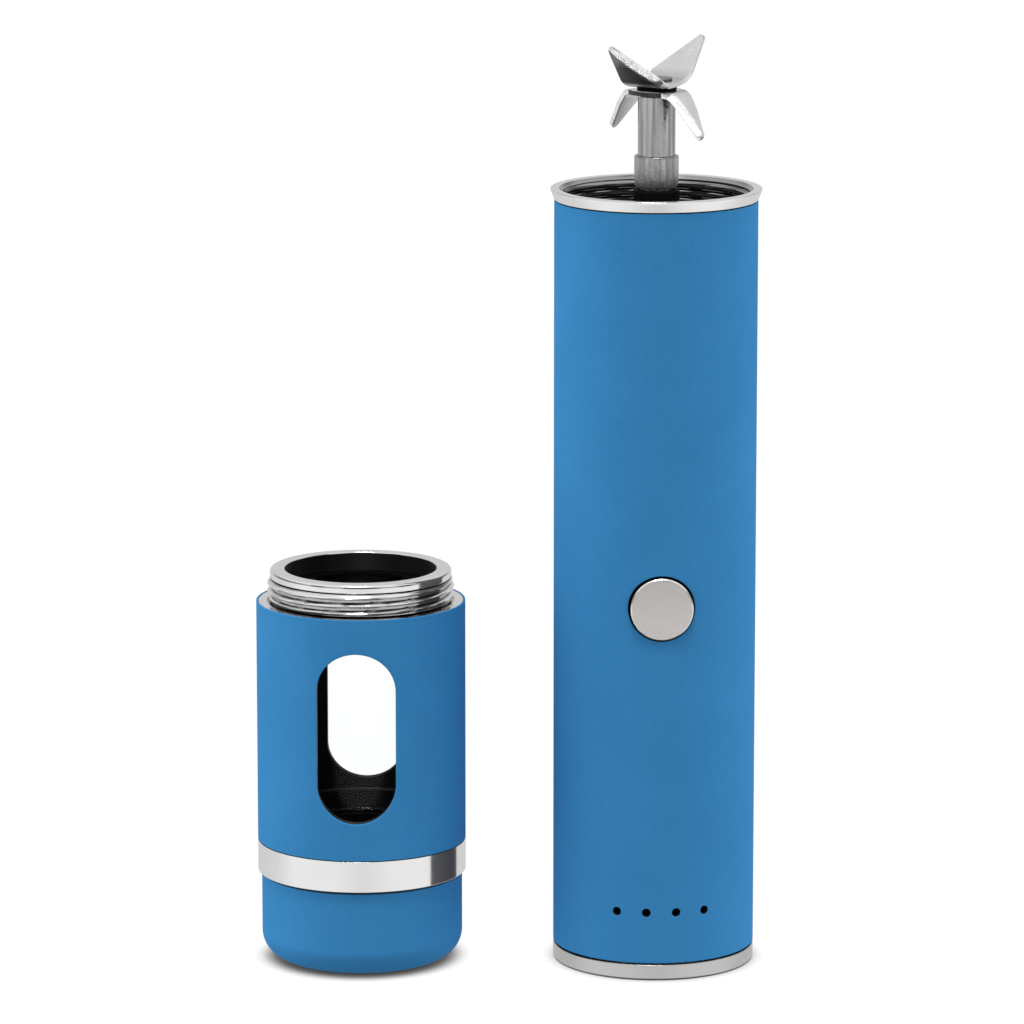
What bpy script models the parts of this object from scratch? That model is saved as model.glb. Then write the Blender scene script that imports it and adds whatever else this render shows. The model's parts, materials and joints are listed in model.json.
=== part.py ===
"""Rechargeable herb grinder: a tube-shaped motor body with its blades on top, and its windowed
glass grinding chamber standing beside it, neck up.

The motor body's axis is the world's Z axis and its underside is at Z = 0. The button faces -Y.
Lengths below are millimetres; MM turns them into Blender's metres.
"""

import math

import bmesh
import bpy
from mathutils import Matrix, Vector

MM = 0.001

# Motor body, measured up its own axis.
BODY_RADIUS = 19.0
BODY_BORE = 17.6
TUBE_LOW = 3.1
TUBE_HIGH = 144.85
BODY_HEIGHT = 147.1
RIM_RADIUS = 19.75
BUTTON_HEIGHT = 71.0
BUTTON_RADIUS = 5.87
BUTTON_HOLE_RADIUS = 6.22
LED_HEIGHT = 12.9
LED_HOLE_RADIUS = 0.8
LED_ANGLES = (-25.1, -8.0, 9.0, 26.1)

# Threads, all right-handed: the chamber's neck and the ring it screws into, then the end cap.
# A crest of the neck's thread faces the front at NECK_CREST.
NECK_PITCH = 1.5
NECK_CREST = 72.67
CAP_PITCH = 1.35
THREAD_DEPTH = 0.28
THREAD_CLEARANCE = 0.38

# Chamber, which stands on its end cap.
CHAMBER_X = -55.25
CHAMBER_Y = 3.0
CHAMBER_RADIUS = 19.7
CHAMBER_BORE = 17.6
SLEEVE_LOW = 22.95
SLEEVE_HIGH = 68.9
NECK_HIGH = 75.0
NECK_BORE = 14.3
SOCKET_HIGH = 28.2
GLASS_INNER = 14.2
GLASS_OUTER = 15.3
WINDOW_WIDTH = 14.7
WINDOW_LOW = 30.0
WINDOW_HIGH = 62.4
WINDOW_TURN = -4.4
CAP_RADIUS = 19.0
CAP_FILLET = 5.0
CAP_HIGH = 16.35

# Spindle and blades.
SPINDLE_RADIUS = 3.5
SPINDLE_NECK_RADIUS = 3.0
SPINDLE_TOP = 164.3
COLLAR_RADIUS = 4.15
PLATE = 1.05
LOWER_HUB = 164.95
UPPER_HUB = 166.7

# Motor, cell and boards inside the body.
MOTOR_RADIUS = 12.2
MOTOR_FRONT = 119.6
MOTOR_REAR = 86.8
MOTOR_SHAFT_RADIUS = 1.585
CELL_RADIUS = 9.2
CELL_LOW = 17.6
CELL_HIGH = 82.3
CELL_Y = 6.0
BOARD_LOW = 10.1
BOARD_HIGH = 11.7
PORT_Y = 9.1

ROUND = 36
INNER_ROUND = 20
SMALL_ROUND = 12
ROWS_PER_PITCH = 4
HOLE_TURN = 5.0
SHARP_ANGLE = math.radians(35)

LOOKS = {
    "soft_touch_blue": ((0.034, 0.171, 0.365, 1.0), 0.55, 0.0),
    "bright_steel": ((0.72, 0.72, 0.74, 1.0), 0.18, 1.0),
    "blade_steel": ((0.62, 0.62, 0.63, 1.0), 0.3, 1.0),
    "button_metal": ((0.55, 0.52, 0.50, 1.0), 0.4, 1.0),
    "clear_glass": ((0.95, 0.97, 0.97, 0.25), 0.02, 0.0),
    "black_rubber": ((0.02, 0.02, 0.02, 1.0), 0.8, 0.0),
    "black_plastic": ((0.03, 0.03, 0.03, 1.0), 0.45, 0.0),
    "bronze": ((0.55, 0.33, 0.14, 1.0), 0.45, 1.0),
    "motor_steel": ((0.45, 0.45, 0.46, 1.0), 0.35, 1.0),
    "ferrite": ((0.08, 0.08, 0.085, 1.0), 0.7, 0.0),
    "copper": ((0.75, 0.36, 0.20, 1.0), 0.3, 1.0),
    "cell_wrap": ((0.05, 0.30, 0.12, 1.0), 0.4, 0.0),
    "board_green": ((0.02, 0.16, 0.07, 1.0), 0.4, 0.0),
    "smoked_clear": ((0.05, 0.05, 0.06, 1.0), 0.15, 0.0),
    "red_wire": ((0.5, 0.02, 0.02, 1.0), 0.5, 0.0),
    "black_wire": ((0.02, 0.02, 0.02, 1.0), 0.5, 0.0),
    "grey_ribbon": ((0.45, 0.45, 0.45, 1.0), 0.55, 0.0),
}


def clear_scene():
    for old in list(bpy.data.objects):
        bpy.data.objects.remove(old, do_unlink=True)


def look(name):
    """The Principled material of one entry of LOOKS, made on first use."""
    found = bpy.data.materials.get(name)
    if found:
        return found
    colour, roughness, metallic = LOOKS[name]
    made = bpy.data.materials.new(name)
    made.use_nodes = True
    shader = made.node_tree.nodes["Principled BSDF"]
    shader.inputs["Base Color"].default_value = colour
    shader.inputs["Roughness"].default_value = roughness
    shader.inputs["Metallic"].default_value = metallic
    shader.inputs["Alpha"].default_value = colour[3]
    return made


def joint_frame(name, place):
    """An empty on a moving group's joint axis. The group's objects are its children."""
    empty = bpy.data.objects.new(name, None)
    empty.location = Vector(place) * MM
    empty.empty_display_size = 10 * MM
    bpy.context.collection.objects.link(empty)
    return empty


def add_solid(name, mesh_in_mm, look_name, group):
    """Makes an object, with its origin at its group's empty, from a bmesh in world millimetres."""
    bmesh.ops.recalc_face_normals(mesh_in_mm, faces=mesh_in_mm.faces)
    if mesh_in_mm.calc_volume(signed=True) < 0:
        bmesh.ops.reverse_faces(mesh_in_mm, faces=mesh_in_mm.faces)
    bmesh.ops.scale(mesh_in_mm, vec=(MM, MM, MM), verts=mesh_in_mm.verts)
    bmesh.ops.translate(mesh_in_mm, vec=-group.location, verts=mesh_in_mm.verts)
    mesh = bpy.data.meshes.new(name)
    mesh_in_mm.to_mesh(mesh)
    mesh_in_mm.free()
    mesh.shade_smooth()
    mesh.set_sharp_from_angle(angle=SHARP_ANGLE)
    made = bpy.data.objects.new(name, mesh)
    bpy.context.collection.objects.link(made)
    made.parent = group
    if look_name:
        mesh.materials.append(look(look_name))
    return made


def cut(solid, cutter_mesh, name):
    """Takes the cutter's shape out of the solid with a Boolean modifier."""
    cutter = add_solid(name, cutter_mesh, None, solid.parent)
    cutter.hide_render = True
    cutter.display_type = "WIRE"
    boolean = solid.modifiers.new(name, "BOOLEAN")
    boolean.operation = "DIFFERENCE"
    boolean.object = cutter


def turned_mesh(outline, segments):
    """Turns an outline of (radius, height) points round the Z axis.

    A point with a thread depth, pitch and crest swings in and out by that depth along a
    right-hand helix. An outline that starts and ends on the axis is closed by it; any other is a
    closed loop.
    """
    made = bmesh.new()
    rings = []
    for radius, height, *helix in outline:
        if radius == 0:
            rings.append([made.verts.new((0, 0, height))])
            continue
        ring = []
        for step in range(segments):
            angle = 2 * math.pi * step / segments
            reach = radius
            if helix:
                depth, pitch, crest = helix
                reach += depth * math.cos(2 * math.pi * (height - crest) / pitch - angle
                                          - math.pi / 2)
            ring.append(made.verts.new((reach * math.cos(angle), reach * math.sin(angle), height)))
        rings.append(ring)
    pairs = list(zip(rings, rings[1:]))
    if len(rings[0]) > 1:
        pairs.append((rings[-1], rings[0]))
    for first, second in pairs:
        for step in range(segments):
            after = (step + 1) % segments
            if len(first) == 1:
                made.faces.new((first[0], second[after], second[step]))
            elif len(second) == 1:
                made.faces.new((first[step], first[after], second[0]))
            else:
                made.faces.new((first[step], first[after], second[after], second[step]))
    return made


def thread(middle, low, high, pitch, crest=0.0):
    """Outline points of a thread between two heights, its ridge fading in and out."""
    steps = round((high - low) / pitch * ROWS_PER_PITCH)
    fade = ROWS_PER_PITCH // 2
    rows = []
    for row in range(steps + 1):
        share = min(1, row / fade, (steps - row) / fade)
        rows.append((middle, low + (high - low) * row / steps, THREAD_DEPTH * share, pitch, crest))
    return rows


def turned(name, outline, look_name, group, centre=(0, 0), segments=ROUND):
    """A solid of revolution about the vertical line through centre."""
    made = turned_mesh(outline, segments)
    bmesh.ops.translate(made, vec=(centre[0], centre[1], 0), verts=made.verts)
    return add_solid(name, made, look_name, group)


def lying(outline, direction, start, segments=SMALL_ROUND):
    """A turned mesh laid along a direction, its outline's heights running from start."""
    made = turned_mesh(outline, segments)
    turn = Vector(direction).to_track_quat("Z", "Y").to_matrix().to_4x4()
    bmesh.ops.transform(made, matrix=Matrix.Translation(start) @ turn, verts=made.verts)
    return made


def upright_hole(radius, low, high, x, y, segments=SMALL_ROUND):
    """A cutter for a vertical hole, turned a little so that none of its edges meets a seam."""
    made = turned_mesh(bar(radius, low, high), segments)
    spin = Matrix.Rotation(math.radians(HOLE_TURN), 3, "Z")
    bmesh.ops.rotate(made, cent=(0, 0, 0), matrix=spin, verts=made.verts)
    bmesh.ops.translate(made, vec=(x, y, 0), verts=made.verts)
    return made


def bar(radius, low, high):
    """The outline of a plain round bar."""
    return [(0, low), (radius, low), (radius, high), (0, high)]


def tube(inner, outer, low, high):
    """The outline of a plain tube."""
    return [(outer, low), (outer, high), (inner, high), (inner, low)]


def block_mesh(low, high, turn=0.0):
    """A box between two corners, turned about the Z axis by some degrees."""
    made = bmesh.new()
    bmesh.ops.create_cube(made, size=1)
    size = Vector(high) - Vector(low)
    middle = (Vector(high) + Vector(low)) / 2
    bmesh.ops.scale(made, vec=size, verts=made.verts)
    bmesh.ops.translate(made, vec=middle, verts=made.verts)
    spin = Matrix.Rotation(math.radians(turn), 3, "Z")
    bmesh.ops.rotate(made, cent=(0, 0, 0), matrix=spin, verts=made.verts)
    return made


def block(name, low, high, look_name, group, turn=0.0):
    return add_solid(name, block_mesh(low, high, turn), look_name, group)


def extruded_mesh(points, low, high):
    """A prism over a flat outline of (x, y) points."""
    made = bmesh.new()
    base = made.faces.new([made.verts.new((x, y, low)) for x, y in points])
    grown = bmesh.ops.extrude_face_region(made, geom=[base])["geom"]
    top = [item for item in grown if isinstance(item, bmesh.types.BMVert)]
    bmesh.ops.translate(made, vec=(0, 0, high - low), verts=top)
    return made


def polar(radius, degrees):
    angle = math.radians(degrees)
    return (radius * math.cos(angle), radius * math.sin(angle))


def arc(radius, first, last, steps):
    """Points along an arc about the Z axis, from one angle in degrees to another."""
    return [polar(radius, first + (last - first) * step / steps) for step in range(steps + 1)]


def sector(inner, outer, first, last, steps):
    """The flat outline of part of a ring."""
    return arc(outer, first, last, steps) + arc(inner, last, first, steps)


def wire(name, points, radius, look_name, group):
    """A round lead along a line of points."""
    curve = bpy.data.curves.new(name, "CURVE")
    curve.dimensions = "3D"
    curve.bevel_depth = radius * MM
    curve.bevel_resolution = 1
    curve.use_fill_caps = True
    spline = curve.splines.new("POLY")
    spline.points.add(len(points) - 1)
    for point, place in zip(spline.points, points):
        point.co = (*((Vector(place) * MM) - group.location), 1)
    curve.materials.append(look(look_name))
    made = bpy.data.objects.new(name, curve)
    bpy.context.collection.objects.link(made)
    made.parent = group
    return made


# ---- Blades ----

def bent(along, bend_start, bend_radius, bend_angle):
    """Where a point at a distance along a blade ends up once its arm is bent: reach, rise, slope."""
    side = math.copysign(1, along)
    distance = abs(along)
    way = math.copysign(1, bend_angle)
    full = abs(bend_angle)
    if distance <= bend_start:
        return along, 0.0, 0.0
    turn = min((distance - bend_start) / bend_radius, full)
    straight = distance - bend_start - turn * bend_radius
    reach = bend_start + bend_radius * math.sin(turn) + straight * math.cos(turn)
    rise = bend_radius * (1 - math.cos(turn)) + straight * math.sin(turn)
    return side * reach, way * rise, side * way * turn


def blade(name, arm, bend, hub, heading, bevel, edge_side, group):
    """A two-armed blade: one bent plate, the same after half a turn.

    arm lists (distance along, right edge, left edge) from the middle out to a tip. bend holds the
    bend's start, radius and angle. Each arm has one ground edge, on its left (1) or its right
    (-1), cut into the face that looks away from the blade's tips.
    """
    stations = [(-along, -high, -low) for along, low, high in reversed(arm) if along > 0] + list(arm)
    ground_below = bend[2] > 0
    made = bmesh.new()
    rows = []
    half = PLATE / 2
    for along, low, high in stations:
        reach, rise, slope = bent(along, *bend)
        width = min(bevel, 0.45 * (high - low))
        ground = 0.72 * PLATE if abs(along) > bend[0] else 0.0
        row = []
        for side, inset, cut_here in ((low, 0, along * edge_side < 0), (low, width, False),
                                      (high, -width, False), (high, 0, along * edge_side > 0)):
            drop = ground if cut_here else 0.0
            upper = half - (0 if ground_below else drop)
            lower = -half + (drop if ground_below else 0)
            pair = []
            for offset in (upper, lower):
                pair.append(made.verts.new((
                    reach - offset * math.sin(slope),
                    side + inset,
                    rise + offset * math.cos(slope),
                )))
            row.append(pair)
        rows.append(row)
    for row, after in zip(rows, rows[1:]):
        for column in range(3):
            for face in (0, 1):
                made.faces.new((row[column][face], row[column + 1][face],
                                after[column + 1][face], after[column][face]))
        for column in (0, 3):
            made.faces.new((row[column][0], row[column][1], after[column][1], after[column][0]))
    for row in (rows[0], rows[-1]):
        for column in range(3):
            made.faces.new((row[column][0], row[column + 1][0], row[column + 1][1], row[column][1]))
    spin = Matrix.Rotation(math.radians(heading), 3, "Z")
    bmesh.ops.rotate(made, cent=(0, 0, 0), matrix=spin, verts=made.verts)
    bmesh.ops.translate(made, vec=(0, 0, hub), verts=made.verts)
    plate = add_solid(name, made, "blade_steel", group)
    cut(plate, upright_hole(1.8, hub - 3, hub + 3, 0, 0), name + "_hole")
    return plate


def make_blades(group):
    """Upper blade with broad arms bent up, lower blade with narrow arms bent down."""
    upper = [(0, -4.5, 4.5), (1.8, -4.0, 4.65), (3.6, -3.4, 4.75), (5.2, -3.35, 4.85),
             (6.8, -3.45, 4.85), (7.5, -3.45, 4.7), (8.2, -3.4, 4.2), (15.2, -2.85, -1.35),
             (16.0, -2.7, -1.9)]
    blade("upper_blade", upper, (3.6, 5.4, math.radians(46.5)), UPPER_HUB, 56, 1.2, 1, group)
    lower = [(0, -4.6, 4.6), (2.4, -4.2, 4.0), (4.0, -3.45, 3.2), (4.9, -3.2, 2.85),
             (5.8, -3.0, 2.55), (6.75, -2.8, 2.3), (9.3, -2.5, 1.6), (13.0, -2.3, 0.05),
             (14.8, -2.2, -0.65), (15.4, -1.85, -1.2)]
    blade("lower_blade", lower, (4.0, 3.3, math.radians(-47.5)), LOWER_HUB, -45, 1.2, -1, group)


# ---- Motor body ----

def make_casing(group):
    """Coloured tube, threaded top ring and flat base cap."""
    shell = turned("body_tube", [
        (BODY_RADIUS, TUBE_LOW), (BODY_RADIUS, TUBE_HIGH), (18.45, TUBE_HIGH), (18.45, 134.5),
        (BODY_BORE, 134.5), (BODY_BORE, TUBE_LOW),
    ], "soft_touch_blue", group)
    hole = lying(bar(BUTTON_HOLE_RADIUS, 0, 10), (0, -1, 0), (0, -12, BUTTON_HEIGHT), INNER_ROUND)
    cut(shell, hole, "button_hole")
    for number, angle in enumerate(LED_ANGLES, 1):
        out = polar(1, angle - 90)
        start = (15 * out[0], 15 * out[1], LED_HEIGHT)
        cut(shell, lying(bar(LED_HOLE_RADIUS, 0, 6), (*out, 0), start, 12), f"led_hole_{number}")
    turned("top_ring", [
        (19.05, 145.1), (RIM_RADIUS - 0.05, 146.7), (RIM_RADIUS, BODY_HEIGHT), (18.1, BODY_HEIGHT),
        (17.85, 146.6), *reversed(thread(17.5, 141.4, 146.4, NECK_PITCH)), (17.85, 141.2),
        (17.85, 139.5),
        (17.2, 139.3), (17.2, 135.6), (18.25, 135.6), (18.25, 145.1),
    ], "bright_steel", group)
    base = turned("base_cap", [
        (0, 0), (18.6, 0), (BODY_RADIUS, 0.4), (BODY_RADIUS, 2.8), (17.35, 2.8), (17.35, 9.8),
        (15.4, 9.8), (15.4, 3.0), (0, 3.0),
    ], "bright_steel", group)
    port = block_mesh((-4.5, PORT_Y - 2.1, -2), (4.5, PORT_Y + 2.1, 5))
    cut(base, port, "port_opening")


def make_deck(group):
    """The floor of the threaded cup, with the spindle's bush and seal."""
    turned("chamber_deck", [
        (17.0, 132.0), (17.0, 139.2), (5.7, 139.2), (5.7, 141.3), (3.4, 141.3), (3.4, 138.8),
        (4.7, 138.8), (4.7, 132.0),
    ], "black_plastic", group, segments=INNER_ROUND)
    turned("spindle_bush", tube(3.1, 4.5, 132.2, 138.5), "bronze", group, segments=INNER_ROUND)
    turned("shaft_seal", [
        (5.1, 141.6), (5.1, 143.0), (4.4, 147.4), (3.25, 147.4), (3.25, 141.6),
    ], "black_rubber", group, segments=INNER_ROUND)


def make_motor(group):
    """The motor's fixed pieces and the mount that holds it under the deck."""
    mount = turned("motor_mount", [
        (17.2, 119.9), (17.2, 131.7), (15.8, 131.7), (15.8, 122.9), (5.2, 122.9), (5.2, 119.9),
    ], "black_plastic", group, segments=INNER_ROUND)
    can = turned("motor_can", [
        (MOTOR_RADIUS, 88.9), (MOTOR_RADIUS, 118.9), (11.6, MOTOR_FRONT), (4.9, MOTOR_FRONT),
        (4.9, 121.2), (3.35, 121.2), (3.35, 118.6), (11.3, 118.6), (11.3, 88.9),
    ], "motor_steel", group, segments=INNER_ROUND)
    for number, side in enumerate((-8.0, 8.0), 1):
        for solid in (mount, can):
            hole = upright_hole(1.45, 117.3, 124.7, side, 0)
            cut(solid, hole, f"{solid.name}_screw_hole_{number}")
        turned(f"motor_screw_{number}", [
            (0, 118.9), (1.25, 118.9), (1.25, 123.05), (2.3, 123.1), (2.2, 124.2), (1.0, 124.5),
            (0.9, 123.8), (0, 123.6),
        ], "motor_steel", group, (side, 0), SMALL_ROUND)
    turned("motor_bearing", tube(1.68, 3.2, 118.7, 121.0), "bronze", group, segments=SMALL_ROUND)
    for name, middle in (("magnet_left", 180), ("magnet_right", 0)):
        outline = sector(9.5, 11.1, middle - 64, middle + 64, 10)
        add_solid(name, extruded_mesh(outline, 93.5, 115.5), "ferrite", group)
    turned("motor_end_bell", [
        (MOTOR_RADIUS, MOTOR_REAR), (MOTOR_RADIUS, 88.6), (11.1, 88.6), (11.1, 92.0), (8.6, 92.0),
        (8.6, 89.0), (1.8, 89.0), (1.8, MOTOR_REAR),
    ], "black_plastic", group, segments=INNER_ROUND)
    for side, name in ((-1, "left"), (1, "right")):
        near, far = sorted((3.35 * side, 7.8 * side))
        block(f"brush_{name}", (near, -1.0, 89.9), (far, 1.0, 91.7), "ferrite", group)
        block(f"motor_terminal_{name}", (6.2 * side - 0.9, -7.0, 83.9),
              (6.2 * side + 0.9, -6.5, 86.6), "copper", group)


def make_rotor(group):
    """Everything that turns: motor shaft and rotor, spindle, collar, rivet and blades."""
    turned("motor_shaft", bar(MOTOR_SHAFT_RADIUS, 87.0, 128.5), "motor_steel", group,
           segments=SMALL_ROUND)
    poles = []
    for middle in (0, 120, 240):
        poles += [polar(4.0, middle - 32), polar(6.9, middle - 18), polar(7.8, middle - 50)]
        poles += arc(9.0, middle - 52, middle + 52, 6)
        poles += [polar(7.8, middle + 50), polar(6.9, middle + 18), polar(4.0, middle + 32)]
    armature = add_solid("armature", extruded_mesh(poles, 96.0, 111.0), "motor_steel", group)
    cut(armature, upright_hole(1.7, 90, 115, 0, 0), "armature_bore")
    for name, low in (("winding_top", 111.3), ("winding_bottom", 92.7)):
        high = low + 3.0
        turned(name, [(7.6, low), (8.4, low + 1.0), (8.4, high - 1.0), (7.6, high),
                      (3.4, high), (2.4, high - 0.8), (2.4, low + 0.8), (3.4, low)],
               "copper", group, segments=SMALL_ROUND)
    turned("commutator", tube(1.7, 3.2, 89.4, 92.3), "copper", group, segments=SMALL_ROUND)
    spindle = turned("spindle", [
        (0, 129.4), (1.68, 129.0), (1.68, 121.6), (SPINDLE_NECK_RADIUS, 121.6),
        (SPINDLE_NECK_RADIUS, 147.8), (SPINDLE_RADIUS, 147.9), (SPINDLE_RADIUS, SPINDLE_TOP),
        (1.75, SPINDLE_TOP), (1.75, 158.0), (0, 157.7),
    ], "bright_steel", group, segments=INNER_ROUND)
    cut(spindle, lying(bar(1.1, 0, 3.5), (1, 0, 0), (0.8, 0, 125)), "grub_hole")
    add_solid("grub_screw", lying(bar(0.95, 0, 1.15), (1, 0, 0), (1.72, 0, 125)),
              "motor_steel", group)
    turned("spindle_collar", [
        (3.75, 148.0), (COLLAR_RADIUS, 148.9), (COLLAR_RADIUS, 153.0), (3.95, 153.2),
        (3.57, 153.2), (3.57, 148.0),
    ], "bright_steel", group, segments=INNER_ROUND)
    turned("blade_spacer", tube(1.8, 3.7, 165.54, 166.11), "black_rubber", group,
           segments=INNER_ROUND)
    turned("blade_rivet", [
        (0, 158.4), (1.6, 158.4), (1.6, 167.3), (2.9, 167.3), (2.9, 167.55), (2.6, 167.75),
        (0, 167.75),
    ], "blade_steel", group, segments=SMALL_ROUND)
    make_blades(group)


def make_power(group):
    """Cell, its holder and leads, and the two circuit boards."""
    side, front, rail = 11.8, -4.2, -8.6
    reach = math.degrees(math.acos(side / 17.2))
    outline = arc(17.2, reach, 180 - reach, 12)
    outline += [(-side, front), (-7.8, front), (-7.8, rail), (-5.2, rail), (-5.2, front),
                (5.2, front), (5.2, rail), (7.8, rail), (7.8, front), (side, front)]
    holder = add_solid("cell_holder", extruded_mesh(outline, 12.0, 81.0), "black_plastic", group)
    bore = upright_hole(CELL_RADIUS + 0.35, 16.85, 90, 0, CELL_Y, INNER_ROUND)
    cut(holder, bore, "cell_bore")
    cut(holder, block_mesh((-3.4, -6, 16.85), (3.4, 0, 19)), "tab_slot")
    turned("battery_cell", [
        (0, CELL_LOW), (8.8, CELL_LOW), (CELL_RADIUS, CELL_LOW + 0.4),
        (CELL_RADIUS, CELL_HIGH - 0.6), (8.6, CELL_HIGH), (3.2, CELL_HIGH), (3.2, 83.0), (0, 83.0),
    ], "cell_wrap", group, (0, CELL_Y), INNER_ROUND)
    block("cell_tab_top", (-3, -4, 83.2), (3, 9, 83.5), "motor_steel", group)
    block("cell_tab_bottom", (-3, -5, 17.05), (3, 9, 17.35), "motor_steel", group)
    turned("charge_board", bar(17.0, BOARD_LOW, BOARD_HIGH), "board_green", group,
           segments=INNER_ROUND)
    socket = block("usb_socket", (-3.9, PORT_Y - 1.4, 1.2), (3.9, PORT_Y + 1.4, 9.9),
                   "bright_steel", group)
    cut(socket, block_mesh((-3.4, PORT_Y - 0.9, -1), (3.4, PORT_Y + 0.9, 8.5)), "socket_mouth")
    block("usb_tongue", (-2.6, PORT_Y - 0.25, 2.6), (2.6, PORT_Y + 0.25, 8.3),
          "black_plastic", group)
    for number, angle in enumerate(LED_ANGLES, 1):
        block(f"charge_led_{number}", (-0.8, -16.8, BOARD_HIGH + 0.15), (0.8, -15.5, 13.9),
              "smoked_clear", group, turn=angle)
    add_solid("led_diffuser", extruded_mesh(sector(17.0, 17.4, -122, -58, 10), 11.9, 14.0),
              "smoked_clear", group)
    block("switch_board", (-8.2, -10.2, 60), (8.2, -8.8, 82), "board_green", group)
    block("ribbon_cable", (-4.6, -8.5, 11.9), (-0.6, -8.0, 61), "grey_ribbon", group)
    for side, name, colour in ((-1, "negative", "black_wire"), (1, "positive", "red_wire")):
        wire(f"motor_wire_{name}", [
            (6.2 * side, -7.8, 85.6), (6.2 * side, -9.3, 85.2), (5.7 * side, -11.2, 83.2),
            (5.2 * side, -11.0, 79.0),
        ], 0.55, colour, group)
    wire("cell_wire_positive", [
        (1.2, -4.7, 83.5), (1.2, -6.5, 83.9), (1.2, -9.5, 83.9), (1.2, -11.1, 82.6),
        (1.2, -11.0, 78.5),
    ], 0.55, "red_wire", group)
    wire("cell_wire_negative", [
        (1.8, -5.7, 17.2), (1.8, -7.3, 16.6), (1.8, -8.4, 14.8), (1.8, -8.5, 12.4),
    ], 0.55, "black_wire", group)


def make_button(body, button):
    """Push button, the plunger it rests on, and the switch under them."""
    outline = [(0, 5.3), (3.6, 5.22), (5.4, 5.08), (5.75, 4.95), (BUTTON_RADIUS, 4.7),
               (BUTTON_RADIUS, 1.25), (7.0, 1.25), (7.0, 0.45), (1.7, 0.45), (1.7, 0), (0, 0)]
    add_solid("button_cap", lying(outline, (0, -1, 0), (0, -14.65, BUTTON_HEIGHT), 32),
              "button_metal", button)
    add_solid("switch_plunger", lying(bar(1.7, 0, 1.4), (0, -1, 0), (0, -13.2, BUTTON_HEIGHT)),
              "black_plastic", button)
    low, high = BUTTON_HEIGHT - 3, BUTTON_HEIGHT + 3
    switch = block("tact_switch", (-3, -13.9, low), (3, -10.4, high), "black_plastic", body)
    cut(switch, lying(bar(1.95, 0, 5), (0, -1, 0), (0, -12.4, BUTTON_HEIGHT)), "plunger_hole")


# ---- Chamber ----

def make_chamber(group):
    """Coloured sleeve with its two windows, threaded neck, glass liner, seals and lower band."""
    centre = (CHAMBER_X, CHAMBER_Y)
    sleeve = turned("chamber_sleeve", [
        (CHAMBER_RADIUS, SLEEVE_LOW), (CHAMBER_RADIUS, SLEEVE_HIGH), (19.3, SLEEVE_HIGH),
        (19.3, 67.5), (CHAMBER_BORE, 67.5), (CHAMBER_BORE, SLEEVE_LOW),
    ], "soft_touch_blue", group, centre)
    half = WINDOW_WIDTH / 2
    slot = [(x, y + WINDOW_HIGH - half) for x, y in arc(half, 0, 180, 10)]
    slot += [(x, y + WINDOW_LOW + half) for x, y in arc(half, 180, 360, 10)]
    window = extruded_mesh(slot, -30, 30)
    upright = Matrix.Rotation(math.radians(90), 4, "X")
    spin = Matrix.Rotation(math.radians(WINDOW_TURN), 4, "Z")
    place = Matrix.Translation((CHAMBER_X, CHAMBER_Y, 0))
    bmesh.ops.transform(window, matrix=place @ spin @ upright, verts=window.verts)
    cut(sleeve, window, "window_slot")
    turned("neck_ring", [
        (15.55, 71.4), (NECK_BORE, 71.4), (NECK_BORE, 74.5), (14.8, NECK_HIGH), (16.3, NECK_HIGH),
        (16.85, 74.6), (17.1, 73.9), (17.1, 73.6),
        *reversed(thread(17.15, 69.3, 73.3, NECK_PITCH, NECK_CREST)), (16.6, 69.1),
        (16.6, 68.55), (17.55, 68.55), (17.65, 68.85), (19.15, 68.85), (19.15, 67.7),
        (17.35, 67.7), (17.35, 63.2), (15.55, 63.2),
    ], "bright_steel", group, centre)
    turned("upper_gasket", tube(GLASS_INNER, GLASS_OUTER, 70.65, 71.2), "black_rubber", group,
           centre, INNER_ROUND)
    turned("glass_liner", tube(GLASS_INNER, GLASS_OUTER, 24.6, 70.5), "clear_glass", group, centre)
    turned("lower_gasket", tube(GLASS_INNER, GLASS_OUTER, 24.0, 24.5), "black_rubber", group,
           centre, INNER_ROUND)
    turned("connector_band", [
        (19.3, 16.75), (CHAMBER_RADIUS, 17.15), (CHAMBER_RADIUS, 22.65), (17.35, 22.65),
        (17.35, SOCKET_HIGH), (15.55, SOCKET_HIGH), (15.55, 23.9), (13.6, 23.9), (13.6, 22.0),
        (17.1, 22.0), *reversed(thread(16.62 + THREAD_CLEARANCE, 17.3, 21.6, CAP_PITCH)),
        (17.4, 16.75),
    ], "bright_steel", group, centre)


def make_cap(seal, cap):
    """Screw-on end cap and the flat ring that seals it against the band."""
    centre = (CHAMBER_X, CHAMBER_Y)
    turned("cap_gasket", tube(17.0, 18.6, 16.42, 16.68), "black_rubber", seal, centre)
    fillet = []
    for step in range(7):
        angle = math.radians(90 * step / 6)
        fillet.append((CAP_RADIUS - CAP_FILLET + CAP_FILLET * math.sin(angle),
                       CAP_FILLET - CAP_FILLET * math.cos(angle)))
    turned("end_cap", [
        (0, 0), *fillet, (CAP_RADIUS, CAP_HIGH), (16.4, CAP_HIGH), (16.4, 16.9),
        *thread(16.62, 17.0, 21.3, CAP_PITCH), (15.9, 21.6), (14.9, 21.6), (14.9, 4.4),
        (12.7, 2.2), (0, 2.2),
    ], "soft_touch_blue", cap, centre)


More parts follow.
